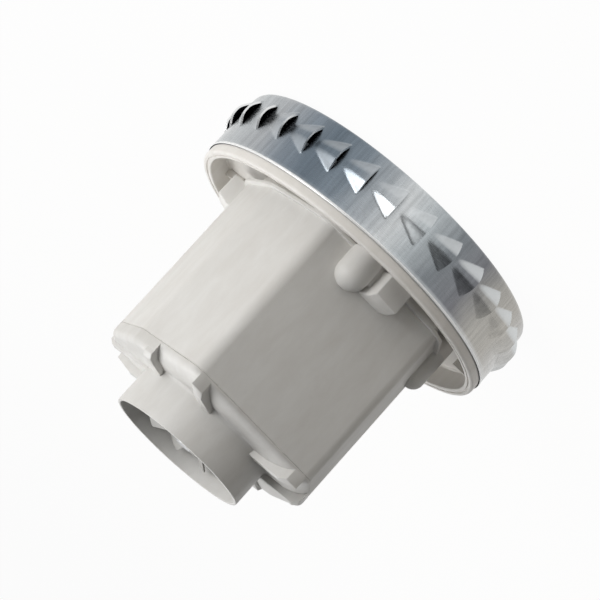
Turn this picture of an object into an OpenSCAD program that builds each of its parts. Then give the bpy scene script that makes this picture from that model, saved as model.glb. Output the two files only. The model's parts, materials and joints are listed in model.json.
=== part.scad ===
// Vacuum cleaner motor unit: a single-stage fan drum with pressed louvres, a plastic
// bracket ring, a moulded motor hood and a rear cover with a round cooling-air tube.
// Origin at the centre of the suction face, +Z along the shaft towards the tube.

/* [Fan drum] */
// Outer radius of the sheet metal drum
drum_r = 72.2; // [70:0.1:76]
// Height of the drum from the suction face to its open edge
drum_h = 28.6; // [28.2:0.1:29.4]
// Thickness of the drum sheet
sheet_t = 0.8; // [0.6:0.1:1.0]
// Outside radius of the bend between the drum wall and the suction face
drum_bend_r = 2.5; // [1.5:0.1:4]
// Radius of the suction inlet
inlet_r = 24; // [20:0.5:24.5]
// Length of the collar turned in round the inlet
inlet_collar = 3.2; // [2:0.1:3.2]
// Radius where the suction face dips in towards the inlet
dish_r = 34; // [31:0.5:40]
// Depth of that dip
dish_depth = 1.6; // [1:0.1:1.8]

/* [Louvres] */
// Number of louvres pressed out of the drum wall
louvre_count = 31; // [20:1:33]
// Angle of the first louvre's slit
louvre_start = -68.4; // [-90:0.1:90]
// Height of the louvre row's middle above the suction face
louvre_z = 12.1; // [11:0.1:13]
// How far a louvre's mouth stands out from the wall
louvre_rise = 3.3; // [2:0.1:4]
// Radius of the louvre's rounded back
louvre_r = 8.25; // [7:0.05:8.6]
// How steeply a louvre's back dives into the wall, in degrees
louvre_pitch = 25; // [22:0.5:30]

/* [Bracket ring] */
// How far the plastic rim stays inside the drum's outside
rim_step = 0.4; // [0:0.1:1]
// Height of the rim's outer band
rim_h = 4.25; // [3:0.05:6]
// Width of the rim between its two faces
rim_w = 4.1; // [3.6:0.1:5]
// Height of the bracket's underside above the suction face
floor_z = 20.5; // [20.2:0.1:21]
// Thickness of the bracket floor
floor_t = 2.5; // [2:0.1:2.8]
// Number of ribs across the recess
rib_count = 12; // [6:1:16]

/* [Motor hood] */
// Half width between the two long flats
hood_flat = 42.5; // [41:0.1:44]
// Half width between the two end facets
hood_end = 50; // [49:0.1:51]
// Distance of the slanted facets from the axis
hood_slant = 49.6; // [48.6:0.1:50.2]
// Angle between an end facet and a slanted facet
slant_angle = 30; // [28:0.5:32]
// Radius of the hood's long edges
hood_edge_r = 6; // [4:0.5:8]
// Wall thickness of the hood
hood_wall = 2.5; // [2:0.1:2.8]
// Height of the hood's seat above the suction face
hood_z = 28.8; // [28.4:0.1:29.6]
// Height of the hood
hood_h = 77.4; // [68:0.1:82]
// Thickness of the flange round the hood's foot
flange_t = 3.2; // [2.5:0.1:4]
// How far that flange stands out
flange_out = 2; // [1:0.1:3]
// Radius of the flange's long edges
flange_edge_r = 14; // [8:0.5:16]
// Width of the three lugs at the hood's foot
lug_w = 12; // [8:0.5:13]
// Height of the lugs at their outer face
lug_h = 10.2; // [8:0.1:14]
// How much higher the lugs are next to the hood
lug_step = 3.9; // [1:0.1:5]
// Radius of the two large screw lobes
lobe_r = 7.2; // [6:0.1:8]
// Height of the large lobes without their dome
lobe_h = 9.2; // [6:0.1:12]
// Radius of the small screw lobe
small_lobe_r = 5; // [4.5:0.1:6]
// How far the web between the front lug and its lobe stands out
web_out = 4.5; // [3:0.1:6]
// Height of that web
web_h = 10.5; // [6:0.1:13]

/* [Rear cover] */
// Height of the cover's end above the hood
cover_h = 5.3; // [4.5:0.1:7]
// Thickness of the lip over the hood's edge
cover_lip = 1; // [0.8:0.1:1.6]
// Width of the slope from the lip up to the cover's end
cover_slope_w = 8.8; // [6:0.1:10]
// Outer radius of the cooling-air tube
tube_r = 31.4; // [31:0.1:32.5]
// Wall thickness of the tube
tube_wall = 1.5; // [1:0.1:2]
// Length of the tube beyond the cover
tube_h = 18; // [17.5:0.1:24]
// Thickness of the eight ribs beside the corners
cover_rib_w = 3.2; // [2.5:0.1:5]
// How far the ribs stand above the cover's end
cover_rib_rise = 3.5; // [2:0.1:4]
// Distance from a corner's diagonal to the rib beside the cover's short end
rib_end_side = 14.8; // [14:0.1:16]
// Distance from a corner's diagonal to the rib beside the cover's long side
rib_long_side = 9.2; // [8:0.1:11]

/* [Impeller] */
// Outer radius of the impeller
impeller_r = 60; // [50:0.5:64]
// Number of impeller blades
impeller_blade_count = 9; // [6:1:12]
// Thickness of the impeller's sheet
impeller_t = 0.8; // [0.6:0.1:1]
// Angle that one impeller blade sweeps through
impeller_sweep = 58; // [30:1:70]

/* [Motor] */
// Radius of the shaft at its ends
shaft_r = 4; // [3.5:0.1:4.5]
// Radius of the shaft inside the rotor
shaft_mid_r = 6; // [5.5:0.1:7]
// Outer radius of both ball bearings
bearing_r = 11; // [10.5:0.1:12]
// Width of both ball bearings
bearing_w = 7; // [6:0.5:7]
// Number of balls in a bearing
ball_count = 7; // [5:1:7]
// Radius of the rotor core
rotor_r = 22; // [18:0.5:22]
// Air gap between the rotor and the stator
air_gap = 0.6; // [0.5:0.1:1]
// Number of winding slots in the rotor
slot_count = 12; // [10:1:14]
// Radius of the commutator
commutator_r = 14; // [12:0.5:15]
// Number of commutator bars
bar_count = 24; // [12:2:32]
// Width of a carbon brush
brush_w = 6.4; // [5:0.1:8]
// Height of a carbon brush
brush_h = 11; // [8:0.5:11]
// Length of a carbon brush
brush_len = 14; // [12:0.5:15]
// How far a brush can be pushed back against its spring
brush_travel = 3; // [1:0.5:4]

/* [Cooling fan] */
// Radius of the cooling fan in the tube
cooling_fan_r = 26; // [20:0.5:27]
// Number of cooling fan blades
cooling_blade_count = 11; // [7:1:13]
// Tilt of a cooling fan blade
cooling_blade_tilt = 38; // [30:1:45]

/* [Hidden] */
$fn = 96;

// How far a louvre runs round the wall, and how deep its former cuts in
louvre_run = 12;
louvre_bite = 4;

// Clearances between pieces
fit_gap = 0.15;
run_gap = 0.05;
seat_gap = 0.02;
eps = 0.01;

// Heights of the main levels above the suction face
floor_top = floor_z + floor_t;
rim_top = drum_h + rim_h;
hood_top = hood_z + hood_h;
cover_top = hood_top + cover_h;
tube_top = cover_top + tube_h;
skirt_r = drum_r - sheet_t - 0.1;
rim_r = drum_r - rim_step;
rim_inner_r = rim_r - rim_w;

// Front bearing and hub
hub_r = bearing_r + 4;
front_bearing_z = floor_z + 2;
shaft_shoulder_z = front_bearing_z + bearing_w;
hub_top = shaft_shoulder_z + 0.5;
hub_hole_r = 8;

// Impeller stack, counted down from the front bearing
back_plate_top = floor_z - 2.5;
back_plate_z = back_plate_top - impeller_t;
washer_r = 14;
washer_t = 1.2;
nut_h = 6.5;
nut_flats = 13;
nut_z = back_plate_z - washer_t - nut_h;
shaft_bottom = nut_z - 3.5;
eye_r = inlet_r + sheet_t + 0.8;
eye_lip_z = 3.0;
front_plate_z = 4.4;
front_plate_rise = 5;
front_plate_t = 0.7;
blade_in_r = eye_r + 2;
blade_out_r = impeller_r - 0.6;
blade_t = 0.9;

// Motor levels: the brushes hang below the hood's top, and the stacks fill the rest
winding_end = 9;
commutator_h = 12;
brush_drop = 10.2;
brush_z = hood_top - brush_drop;
commutator_z = brush_z - commutator_h / 2;
stack_top = commutator_z - 1 - winding_end;
stack_z = hub_top + 12;
stack_h = stack_top - stack_z;

// Stator and rotor
bore_r = rotor_r + air_gap;
stator_flat = hood_flat - hood_wall - fit_gap;
stator_round = 46.6;
pole_half = 14;
yoke_half = 31;
coil_in_x = 28;
coil_out_x = 37;
coil_end = 9;
coil_gap = 0.3;
slot_w = 3.2;
slot_depth = 12;
slot_open = 9;
commutator_step = 1;
holder_wall = 0.8;
holder_in = commutator_r + 1.4;
holder_out = hood_flat - hood_wall;
brush_in = commutator_r + 0.1;
spring_r = 2.6;
spring_wall = 0.6;
screw_r = 1.9;
stator_screw_y = 35.4;
screw_head_r = 3.4;
screw_head_h = 2.5;
post_half = 5;
post_h = 6.5;

// Rear bearing, held in the cover's spider
rear_bearing_z = cover_top - bearing_w + 2.5;
sleeve_t = 1.5;
cup_r = bearing_r + sleeve_t + 2;
cup_z = rear_bearing_z - 2;
cup_top = rear_bearing_z + bearing_w - 0.6;
arm_w = 4.5;
shaft_rear_shoulder = rear_bearing_z;
cooling_z = cup_top + 1.6;
cooling_h = 10;
cooling_hub_r = 8.5;
cooling_blade_t = 1.1;
cooling_chord = 16;
shaft_top = cooling_z + cooling_h + 0.8;
tube_root_h = cover_rib_rise + 0.2;
tube_root_out = 0.6;
end_bevel = 1.8;
plate_hole_r = tube_r - tube_wall;

// Places of the lobes and lugs at the hood's foot
lobe_pos = [14.4, hood_flat + 2.5];
small_lobe_angle = 201;
small_lobe_d = hood_slant + 0.9;
lug_angles = [-91.6, 28.4, 148.4];
lug_facet = [hood_flat, hood_slant, hood_slant];
lug_out = [13.5, 7.9, 7.9];
lug_chamfer = 5;
pedestal_in = 4;
pedestal_wall = 3;
window_w = 10;
pilot_r = 1.8;
hood_head_r = 3.4;
hood_head_h = 1.4;
screw_shank = floor_t + hood_z - floor_top + 9;

// Outline of the hood: eight facets, given by their directions and distances
facet_angle = [
  -90, -slant_angle, 0, slant_angle, 90, 180 - slant_angle, 180, 180 + slant_angle
];
facet_dist = [
  hood_flat, hood_slant, hood_end, hood_slant,
  hood_flat, hood_slant, hood_end, hood_slant
];
edge_steps = 6;

function facet_turn(i) = (facet_angle[(i + 1) % 8] - facet_angle[i] + 720) % 360;

function corner(i, off) =
  let (
    a = facet_angle[i],
    b = facet_angle[(i + 1) % 8],
    da = facet_dist[i] + off,
    db = facet_dist[(i + 1) % 8] + off
  )
  [(da * sin(b) - db * sin(a)) / sin(b - a), (db * cos(a) - da * cos(b)) / sin(b - a)];

function outline(off, r) = [
  for (i = [0:7])
    for (k = [0:edge_steps])
      let (a = facet_angle[i] + facet_turn(i) * k / edge_steps)
      corner(i, off - r) + r * [cos(a), sin(a)]
];

// An arc of points from angle a to angle b, for revolved and extruded profiles
function arc(cx, cy, r, a, b, n) = [
  for (i = [0:n]) [cx + r * cos(a + (b - a) * i / n), cy + r * sin(a + (b - a) * i / n)]
];

module hood_prism(off, r, z, h) {
  translate([0, 0, z])
    linear_extrude(h)
      polygon(outline(off, r));
}

module ring(r_out, r_in, z, h) {
  translate([0, 0, z])
    rotate_extrude()
      translate([r_in, 0])
        square([r_out - r_in, h]);
}

// The drum's outside as one revolved solid, with the bend at the suction face
module drum_outside() {
  rotate_extrude()
    polygon(concat(
      [[0, drum_h], [0, 0]],
      arc(drum_r - drum_bend_r, drum_bend_r, drum_bend_r, -90, 0, 5),
      [[drum_r, drum_h]]
    ));
}

// The space inside the drum sheet, dipped where the suction face dips
module drum_inside() {
  inner_r = drum_r - sheet_t;
  bend = drum_bend_r - sheet_t;
  rotate_extrude()
    polygon(concat(
      [[0, drum_h + 1], [0, sheet_t + dish_depth], [dish_r - dish_depth, sheet_t + dish_depth]],
      [[dish_r, sheet_t]],
      arc(inner_r - bend, sheet_t + bend, bend, -90, 0, 5),
      [[inner_r, drum_h + 1]]
    ));
}

// One louvre as a rounded back that starts at the slit and dives into the wall
module louvre_form(r) {
  lean = louvre_r / cos(louvre_pitch);
  reach = louvre_r + 1.75;
  intersection() {
    translate([drum_r + louvre_rise - lean, 0, louvre_z])
      rotate([0, 0, louvre_pitch])
        rotate([-90, 0, 0])
          translate([0, 0, -louvre_run / 2])
            cylinder(r = r, h = 1.5 * louvre_run);
    translate([drum_r - louvre_bite, 0, louvre_z - reach])
      cube([louvre_bite + 2 * louvre_rise, louvre_run, 2 * reach]);
  }
}

module louvres(r, shift) {
  for (i = [0:louvre_count - 1])
    rotate([0, 0, louvre_start + i * 360 / louvre_count])
      translate([0, shift, 0])
        louvre_form(r);
}

module fan_housing() {
  color("silver") {
    difference() {
      union() {
        drum_outside();
        louvres(louvre_r, 0);
      }
      drum_inside();
      louvres(louvre_r - sheet_t, -eps);
      translate([0, 0, -1])
        cylinder(r1 = dish_r + 0.2 + 1, r2 = dish_r - dish_depth + 0.2, h = 1 + dish_depth);
      translate([0, 0, -1])
        cylinder(r = inlet_r, h = 10);
    }
    ring(inlet_r + sheet_t, inlet_r, dish_depth, sheet_t + inlet_collar);
  }
}

// The rim's section: a flush outer band, a rounded front, a groove and an inner lip
module rim_section() {
  polygon(concat(
    [[skirt_r, floor_z], [skirt_r, drum_h], [rim_r, drum_h]],
    arc(rim_r - 1.2, rim_top - 1.2, 1.2, 0, 80, 4),
    [
      [rim_r - 1.9, rim_top - 0.1],
      [rim_r - 2.0, rim_top - 0.6],
      [rim_r - 2.5, rim_top - 0.6],
      [rim_r - 2.6, rim_top - 0.1],
      [rim_inner_r + 0.3, rim_top - 0.2],
      [rim_inner_r, rim_top - 0.6],
      [rim_inner_r, floor_top + 0.8],
      [rim_inner_r - 0.8, floor_top],
      [20, floor_top],
      [20, floor_z]
    ]
  ));
}

module screw_places() {
  for (s = [-1, 1])
    translate([lobe_pos[0], s * lobe_pos[1], 0])
      children();
  rotate([0, 0, small_lobe_angle])
    translate([small_lobe_d, 0, 0])
      children();
}

module exhaust_windows() {
  for (a = [0, 30, 60, 120, 150])
    rotate([0, 0, a])
      translate([-rim_inner_r, -window_w / 2, floor_top + 0.8])
        cube([2 * rim_inner_r, window_w, hood_z - floor_top - 2.2]);
}

module bracket_ring() {
  color("white")
    difference() {
      union() {
        rotate_extrude()
          rim_section();
        translate([0, 0, floor_z])
          cylinder(r = 21, h = floor_t);
        translate([0, 0, floor_z])
          cylinder(r = hub_r, h = hub_top - floor_z);
        difference() {
          hood_prism(-pedestal_in, 3, floor_top - eps, hood_z - floor_top + eps);
          hood_prism(-pedestal_in - pedestal_wall, 2, floor_top - 1, hood_z - floor_top + 2);
          exhaust_windows();
        }
        screw_places()
          translate([0, 0, floor_top - eps])
            cylinder(r = small_lobe_r, h = hood_z - floor_top + eps);
        for (i = [0:rib_count - 1])
          rotate([0, 0, 15 + i * 360 / rib_count])
            translate([rim_inner_r - 8, -0.8, floor_top - eps])
              cube([8.4, 1.6, 3.2]);
      }
      translate([0, 0, front_bearing_z])
        cylinder(r = bearing_r + seat_gap, h = hub_top);
      translate([0, 0, floor_z - 1])
        cylinder(r = hub_hole_r, h = floor_t + 2);
      screw_places()
        translate([0, 0, floor_z - 1]) {
          cylinder(r = pilot_r + 0.1, h = hood_z - floor_z + 2);
          cylinder(r = hood_head_r + 0.2, h = 1 + hood_head_h + 0.1);
        }
    }
}

module hood_screws() {
  color("gainsboro")
    screw_places()
      difference() {
        union() {
          translate([0, 0, floor_z + 0.1])
            cylinder(r = hood_head_r, h = hood_head_h);
          translate([0, 0, floor_z + hood_head_h])
            cylinder(r = pilot_r - 0.05, h = screw_shank);
        }
        for (a = [0, 90])
          rotate([0, 0, a])
            translate([-2, -0.4, floor_z])
              cube([4, 0.8, 0.9]);
      }
}

// A lug on a facet of the hood's foot, with a sloped top
module lug(angle, facet, reach) {
  start = facet - hood_wall / 2;
  translate([0, 0, hood_z])
    rotate([0, 0, angle])
      difference() {
        translate([start, -lug_w / 2, 0])
          cube([reach - start, lug_w, lug_h + lug_step]);
        translate([reach, 0, lug_h])
          rotate([0, atan2(lug_step, lug_chamfer), 0])
            translate([-20, -lug_w, 0])
              cube([40, 2 * lug_w, 20]);
      }
}

// A round boss with a domed end, for a screw from below
module lobe(r, h) {
  rotate_extrude()
    polygon(concat([[0, 0], [r, 0]], arc(0, h, r, 0, 80, 6), [[0, h + r * sin(80)]]));
}

module hood_lobes() {
  translate([0, 0, hood_z]) {
    for (s = [-1, 1])
      translate([lobe_pos[0], s * lobe_pos[1], 0])
        lobe(lobe_r, lobe_h);
    rotate([0, 0, small_lobe_angle])
      translate([small_lobe_d, 0, 0])
        lobe(small_lobe_r, lobe_h + 4.5);
    translate([0, -hood_flat - web_out, 0])
      cube([lobe_pos[0], web_out + hood_wall / 2, web_h]);
  }
}

// Posts inside the hood that take the two stator screws
module stator_posts() {
  for (s = [-1, 1])
    translate([-post_half, s > 0 ? stator_screw_y - post_half : -holder_out - 0.5, stack_top + fit_gap])
      cube([2 * post_half, holder_out + 0.5 - stator_screw_y + post_half, post_h]);
}

module motor_hood() {
  color("whitesmoke")
    difference() {
      union() {
        difference() {
          union() {
            hood_prism(0, hood_edge_r, hood_z, hood_h);
            hood_prism(flange_out, flange_edge_r, hood_z, flange_t);
            for (i = [0:2])
              lug(lug_angles[i], lug_facet[i], lug_facet[i] + lug_out[i]);
            hood_lobes();
          }
          hood_prism(-hood_wall, hood_edge_r - hood_wall, hood_z - 1, hood_h + 2);
        }
        stator_posts();
      }
      screw_places()
        translate([0, 0, hood_z - 1])
          cylinder(r = pilot_r, h = screw_shank - 3);
      for (s = [-1, 1])
        translate([0, s * stator_screw_y, stack_top - 1])
          cylinder(r = screw_r, h = post_h + 3);
      for (s = [-1, 1])
        translate([s * tab_x - tab_w / 2 - 0.1, 0, tab_z - 0.1])
          cube([tab_w + 0.2, 60, tab_t + 0.2]);
    }
}

// A wedge that slopes a facet's upper edge, from a point on the facet to one further in
module facet_slope(i, low, top, w) {
  steep = (top - low) / w;
  rotate([0, 0, facet_angle[i]])
    rotate([90, 0, 0])
      translate([0, 0, -hood_end])
        linear_extrude(2 * hood_end)
          polygon([
            [facet_dist[i], low],
            [facet_dist[i] + w + 2, low],
            [facet_dist[i] + w + 2, top + 2],
            [facet_dist[i] - w - 2 / steep, top + 2]
          ]);
}

// The cover's body: a lip on the hood's edge and slopes up to the tube's foot
module cover_body() {
  difference() {
    hood_prism(0, hood_edge_r, hood_top, cover_h);
    for (i = [0:7])
      facet_slope(i, hood_top + cover_lip, cover_top, cover_slope_w);
  }
}

// The full-height blocks at both short ends, with a narrow bevel
module cover_ends() {
  start = rib_end_side * sqrt(2);
  difference() {
    intersection() {
      hood_prism(0, hood_edge_r, hood_top, cover_h);
      for (s = [-1, 1])
        scale([s, 1, 1])
          translate([0, 0, hood_top])
            linear_extrude(cover_h)
              polygon([[start, 0], [start + 40, -40], [start + 40, 40]]);
    }
    for (i = [1, 2, 3, 5, 6, 7])
      facet_slope(i, cover_top - end_bevel, cover_top, end_bevel);
  }
}

// A rib beside a corner's diagonal: low at its outer end, humped, lower at the tube
module cover_rib(side) {
  rotate([0, 0, -45])
    translate([0, side + cover_rib_w, 0])
      rotate([90, 0, 0])
        linear_extrude(cover_rib_w)
          polygon([
            [tube_r - 3, hood_top],
            [52, hood_top],
            [52, cover_top - 2.2],
            [47, cover_top - 0.1],
            [41, cover_top + cover_rib_rise - 0.8],
            [37.5, cover_top + cover_rib_rise],
            [33.5, cover_top + cover_rib_rise - 0.1],
            [tube_r - 3, cover_top + cover_rib_rise - 1.6]
          ]);
}

module cover_ribs() {
  for (sx = [-1, 1])
    for (sy = [-1, 1])
      scale([sx, sy, 1]) {
        cover_rib(rib_end_side);
        cover_rib(-rib_long_side - cover_rib_w);
      }
}

module spider() {
  for (a = [45, 135])
    rotate([0, 0, a])
      difference() {
        translate([-plate_hole_r - 1, -arm_w / 2, cup_z])
          cube([2 * plate_hole_r + 2, arm_w, cover_top - cup_z]);
        translate([0, 0, cup_z - 1])
          cylinder(r = cup_r - 0.5, h = 30);
      }
  ring(cup_r, bearing_r + sleeve_t + seat_gap, cup_z + 1.2, cup_top - cup_z - 1.2);
  ring(cup_r, bearing_r - 1, cup_z, 1.2);
}

module rear_cover() {
  color("gainsboro") {
    difference() {
      union() {
        intersection() {
          hood_prism(0, hood_edge_r, hood_top, cover_h + cover_rib_rise + 1);
          union() {
            cover_body();
            cover_ends();
            cover_ribs();
          }
        }
        translate([0, 0, hood_top])
          cylinder(r = tube_r, h = tube_top - hood_top);
        translate([0, 0, cover_top])
          cylinder(r1 = tube_r + tube_root_out, r2 = tube_r, h = tube_root_h);
      }
      translate([0, 0, hood_top - 1])
        cylinder(r = plate_hole_r, h = tube_top);
    }
    spider();
  }
}

module stator_core() {
  color("dimgray")
    translate([0, 0, stack_z])
      linear_extrude(stack_h)
        difference() {
          intersection() {
            circle(r = stator_round);
            square([2 * stator_round + 1, 2 * stator_flat], center = true);
          }
          circle(r = bore_r);
          for (s = [-1, 1])
            for (t = [-1, 1])
              difference() {
                translate([s > 0 ? slot_open : -coil_out_x - 1.2, t > 0 ? pole_half : -yoke_half])
                  square([coil_out_x + 1.2 - slot_open, yoke_half - pole_half]);
                circle(r = bore_r + 4.4);
              }
          for (s = [-1, 1])
            translate([0, s * stator_screw_y])
              circle(r = screw_r + 0.2);
        }
}

// A field coil: a rectangular loop round one pole
module field_coil(side) {
  color("chocolate")
    difference() {
      translate([side > 0 ? coil_in_x : -coil_out_x, -yoke_half + coil_gap + 1.7, stack_z - coil_end])
        cube([coil_out_x - coil_in_x, 2 * (yoke_half - coil_gap - 1.7), stack_h + 2 * coil_end]);
      translate([side > 0 ? coil_in_x - 1 : -coil_out_x - 1, -pole_half - coil_gap, stack_z - coil_gap])
        cube([coil_out_x - coil_in_x + 2, 2 * (pole_half + coil_gap), stack_h + 2 * coil_gap]);
    }
}

module field_coil_left() {
  field_coil(-1);
}

module field_coil_right() {
  field_coil(1);
}

module stator_screws() {
  color("lightgray")
    for (s = [-1, 1])
      translate([0, s * stator_screw_y, stack_z - screw_head_h]) {
        cylinder(r = screw_head_r, h = screw_head_h);
        cylinder(r = screw_r - 0.1, h = screw_head_h + stack_h + post_h - 0.5);
      }
}

// A brush holder: a square brass tube that runs out to the hood's flat wall
module brush_holder(side) {
  color("goldenrod")
    scale([1, side, 1])
      difference() {
        translate([-brush_w / 2 - holder_wall - run_gap, holder_in, brush_z - brush_h / 2 - holder_wall - run_gap])
          cube([
            brush_w + 2 * (holder_wall + run_gap),
            holder_out - holder_in,
            brush_h + 2 * (holder_wall + run_gap)
          ]);
        translate([-brush_w / 2 - run_gap, holder_in - 1, brush_z - brush_h / 2 - run_gap])
          cube([brush_w + 2 * run_gap, holder_out - holder_in - 0.2, brush_h + 2 * run_gap]);
      }
}

module brush_holder_front() {
  brush_holder(-1);
}

module brush_holder_back() {
  brush_holder(1);
}

// A carbon brush with a hollow end that fits the commutator
module brush(side) {
  color("dimgray")
    scale([1, side, 1])
      difference() {
        translate([-brush_w / 2, commutator_r - 2, brush_z - brush_h / 2])
          cube([brush_w, brush_len + 2, brush_h]);
        translate([0, 0, brush_z - brush_h])
          cylinder(r = brush_in, h = 2 * brush_h);
      }
}

module brush_front() {
  brush(-1);
}

module brush_back() {
  brush(1);
}

module brush_spring(side) {
  spring_start = commutator_r + brush_len + 0.1;
  spring_end = holder_out - 1.4;
  color("silver")
    scale([1, side, 1])
      translate([0, spring_start, brush_z])
        rotate([-90, 0, 0])
          difference() {
            cylinder(r = spring_r, h = spring_end - spring_start);
            translate([0, 0, -1])
              cylinder(r = spring_r - spring_wall, h = spring_end - spring_start + 2);
          }
}

module brush_spring_front() {
  brush_spring(-1);
}

module brush_spring_back() {
  brush_spring(1);
}

// Blade terminals through the hood's hidden back
tab_w = 6.3;
tab_t = 0.8;
tab_len = 10;
tab_root = 8;
tab_stop = 1.2;
tab_x = 12;
tab_z = brush_z - tab_t / 2;

module terminal_tabs() {
  color("goldenrod")
    for (s = [-1, 1])
      difference() {
        union() {
          translate([s * tab_x - tab_w / 2, hood_flat - tab_root, tab_z])
            cube([tab_w, tab_root + tab_len, tab_t]);
          translate([s * tab_x - tab_w / 2 - 1, holder_out - tab_stop, tab_z - 1])
            cube([tab_w + 2, tab_stop - seat_gap, tab_t + 2]);
        }
        translate([s * tab_x, hood_flat + tab_len - 3.5, tab_z - 1])
          cylinder(r = 0.8, h = tab_t + 2);
      }
}

// A ball bearing's parts, between an inner and an outer race with round grooves
ball_r = 1.98;
race_mid = (shaft_r + bearing_r) / 2;
race_t = (bearing_r - shaft_r) / 2 - ball_r + 0.35;

module race_groove() {
  rotate_extrude()
    translate([race_mid, bearing_w / 2])
      circle(r = ball_r + run_gap, $fn = 32);
}

module bearing_outer(z) {
  color("lightgray")
    translate([0, 0, z])
      difference() {
        rotate_extrude()
          translate([bearing_r - race_t, 0])
            square([race_t, bearing_w]);
        race_groove();
      }
}

module bearing_inner(z) {
  color("lightgray")
    translate([0, 0, z])
      difference() {
        rotate_extrude()
          translate([shaft_r + seat_gap, 0])
            square([race_t - seat_gap, bearing_w]);
        race_groove();
      }
}

module bearing_balls(z) {
  color("silver")
    translate([0, 0, z + bearing_w / 2]) {
      for (i = [0:ball_count - 1])
        rotate([0, 0, i * 360 / ball_count])
          translate([race_mid, 0, 0])
            sphere(r = ball_r);
      difference() {
        rotate_extrude()
          translate([race_mid - 0.5, -0.6])
            square([1, 1.2]);
        for (i = [0:ball_count - 1])
          rotate([0, 0, i * 360 / ball_count])
            translate([race_mid, 0, 0])
              sphere(r = ball_r - 0.2);
      }
    }
}

module front_bearing_outer() {
  bearing_outer(front_bearing_z);
}

module front_bearing_inner() {
  bearing_inner(front_bearing_z);
}

module front_bearing_balls() {
  bearing_balls(front_bearing_z);
}

module rear_bearing_outer() {
  bearing_outer(rear_bearing_z);
}

module rear_bearing_inner() {
  bearing_inner(rear_bearing_z);
}

module rear_bearing_balls() {
  bearing_balls(rear_bearing_z);
}

module rear_bearing_sleeve() {
  color("dimgray")
    ring(bearing_r + sleeve_t, bearing_r + seat_gap, cup_z + 1.2, cup_top - cup_z - 1.2);
}

module shaft() {
  color("lightgray")
    rotate_extrude()
      polygon([
        [0, shaft_bottom],
        [shaft_r - 0.6, shaft_bottom],
        [shaft_r, shaft_bottom + 0.6],
        [shaft_r, shaft_shoulder_z],
        [shaft_mid_r, shaft_shoulder_z],
        [shaft_mid_r, shaft_rear_shoulder],
        [shaft_r, shaft_rear_shoulder],
        [shaft_r, shaft_top - 0.6],
        [shaft_r - 0.6, shaft_top],
        [0, shaft_top]
      ]);
}

module rotor_core() {
  color("dimgray")
    difference() {
      ring(rotor_r, shaft_mid_r + seat_gap, stack_z, stack_h);
      for (i = [0:slot_count - 1])
        rotate([0, 0, i * 360 / slot_count])
          translate([rotor_r - slot_depth, -slot_w / 2, stack_z - 1])
            cube([slot_depth + 1, slot_w, stack_h + 2]);
    }
}

// The winding: a bar in each slot and a rounded bundle at both ends
module armature_winding() {
  color("chocolate") {
    for (i = [0:slot_count - 1])
      rotate([0, 0, i * 360 / slot_count])
        translate([rotor_r - slot_depth + 0.3, -slot_w / 2 + 0.15, stack_z - 1])
          cube([slot_depth - 1.5, slot_w - 0.3, stack_h + 2]);
    for (z = [stack_z - winding_end + 0.5, stack_top + 0.2])
      translate([0, 0, z])
        rotate_extrude()
          polygon([
            [shaft_mid_r + 1, 0],
            [rotor_r - 4, 0],
            [rotor_r - 1.5, 2.5],
            [rotor_r - 1.5, winding_end - 3.2],
            [rotor_r - 4, winding_end - 0.7],
            [shaft_mid_r + 1, winding_end - 0.7]
          ]);
  }
}

module commutator() {
  color("peru")
    difference() {
      union() {
        ring(commutator_r, shaft_mid_r + seat_gap, commutator_z, commutator_h);
        ring(commutator_r - commutator_step, shaft_mid_r + seat_gap, commutator_z - 0.9, 1.2);
      }
      for (i = [0:bar_count - 1])
        rotate([0, 0, i * 360 / bar_count])
          translate([commutator_r - commutator_step, -0.3, commutator_z + 0.5])
            cube([3 * commutator_step, 0.6, commutator_h]);
    }
}

module shaft_spacer() {
  color("lightgray")
    ring(shaft_r + 2.5, shaft_r + seat_gap, back_plate_top + washer_t, front_bearing_z - back_plate_top - washer_t);
}

module impeller_back_plate() {
  color("silver")
    ring(impeller_r, shaft_r + seat_gap, back_plate_z, impeller_t);
}

// Underside of the front plate at a given radius
function front_plate_height(r) =
  front_plate_z + front_plate_t + front_plate_rise * (r - eye_r) / (impeller_r - eye_r);

module impeller_front_plate() {
  color("silver")
    rotate_extrude()
      polygon([
        [eye_r, eye_lip_z],
        [eye_r + front_plate_t, eye_lip_z],
        [eye_r + front_plate_t, front_plate_z],
        [impeller_r, front_plate_z + front_plate_rise],
        [impeller_r, front_plate_z + front_plate_rise + front_plate_t],
        [eye_r, front_plate_z + front_plate_t]
      ]);
}

// One blade's plan: a band that sweeps back as it runs outwards
function blade_point(t, side) =
  let (
    r = blade_in_r + (blade_out_r - blade_in_r) * t,
    a = -impeller_sweep * pow(t, 0.8) + side * asin(blade_t / 2 / r) * 1.4
  )
  [r * cos(a), r * sin(a)];

blade_steps = 8;

module impeller_blades() {
  color("silver")
    intersection() {
      for (i = [0:impeller_blade_count - 1])
        rotate([0, 0, i * 360 / impeller_blade_count])
          linear_extrude(back_plate_z)
            polygon(concat(
              [for (k = [0:blade_steps]) blade_point(k / blade_steps, -1)],
              [for (k = [blade_steps:-1:0]) blade_point(k / blade_steps, 1)]
            ));
      rotate_extrude()
        polygon([
          [eye_r, front_plate_height(eye_r)],
          [impeller_r, front_plate_height(impeller_r)],
          [impeller_r, back_plate_z],
          [eye_r, back_plate_z]
        ]);
    }
}

module impeller_washers() {
  color("gainsboro") {
    ring(washer_r, shaft_r + seat_gap, back_plate_z - washer_t, washer_t);
    ring(washer_r, shaft_r + seat_gap, back_plate_top, washer_t);
  }
}

module impeller_nut() {
  color("gainsboro")
    translate([0, 0, nut_z])
      difference() {
        intersection() {
          cylinder(r = nut_flats / sqrt(3), h = nut_h, $fn = 6);
          cylinder(r1 = nut_flats / 2 + 0.2, r2 = nut_flats / 2 + 0.2 + nut_h * 1.7, h = nut_h);
        }
        translate([0, 0, -1])
          cylinder(r = shaft_r + seat_gap, h = nut_h + 2);
      }
}

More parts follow.
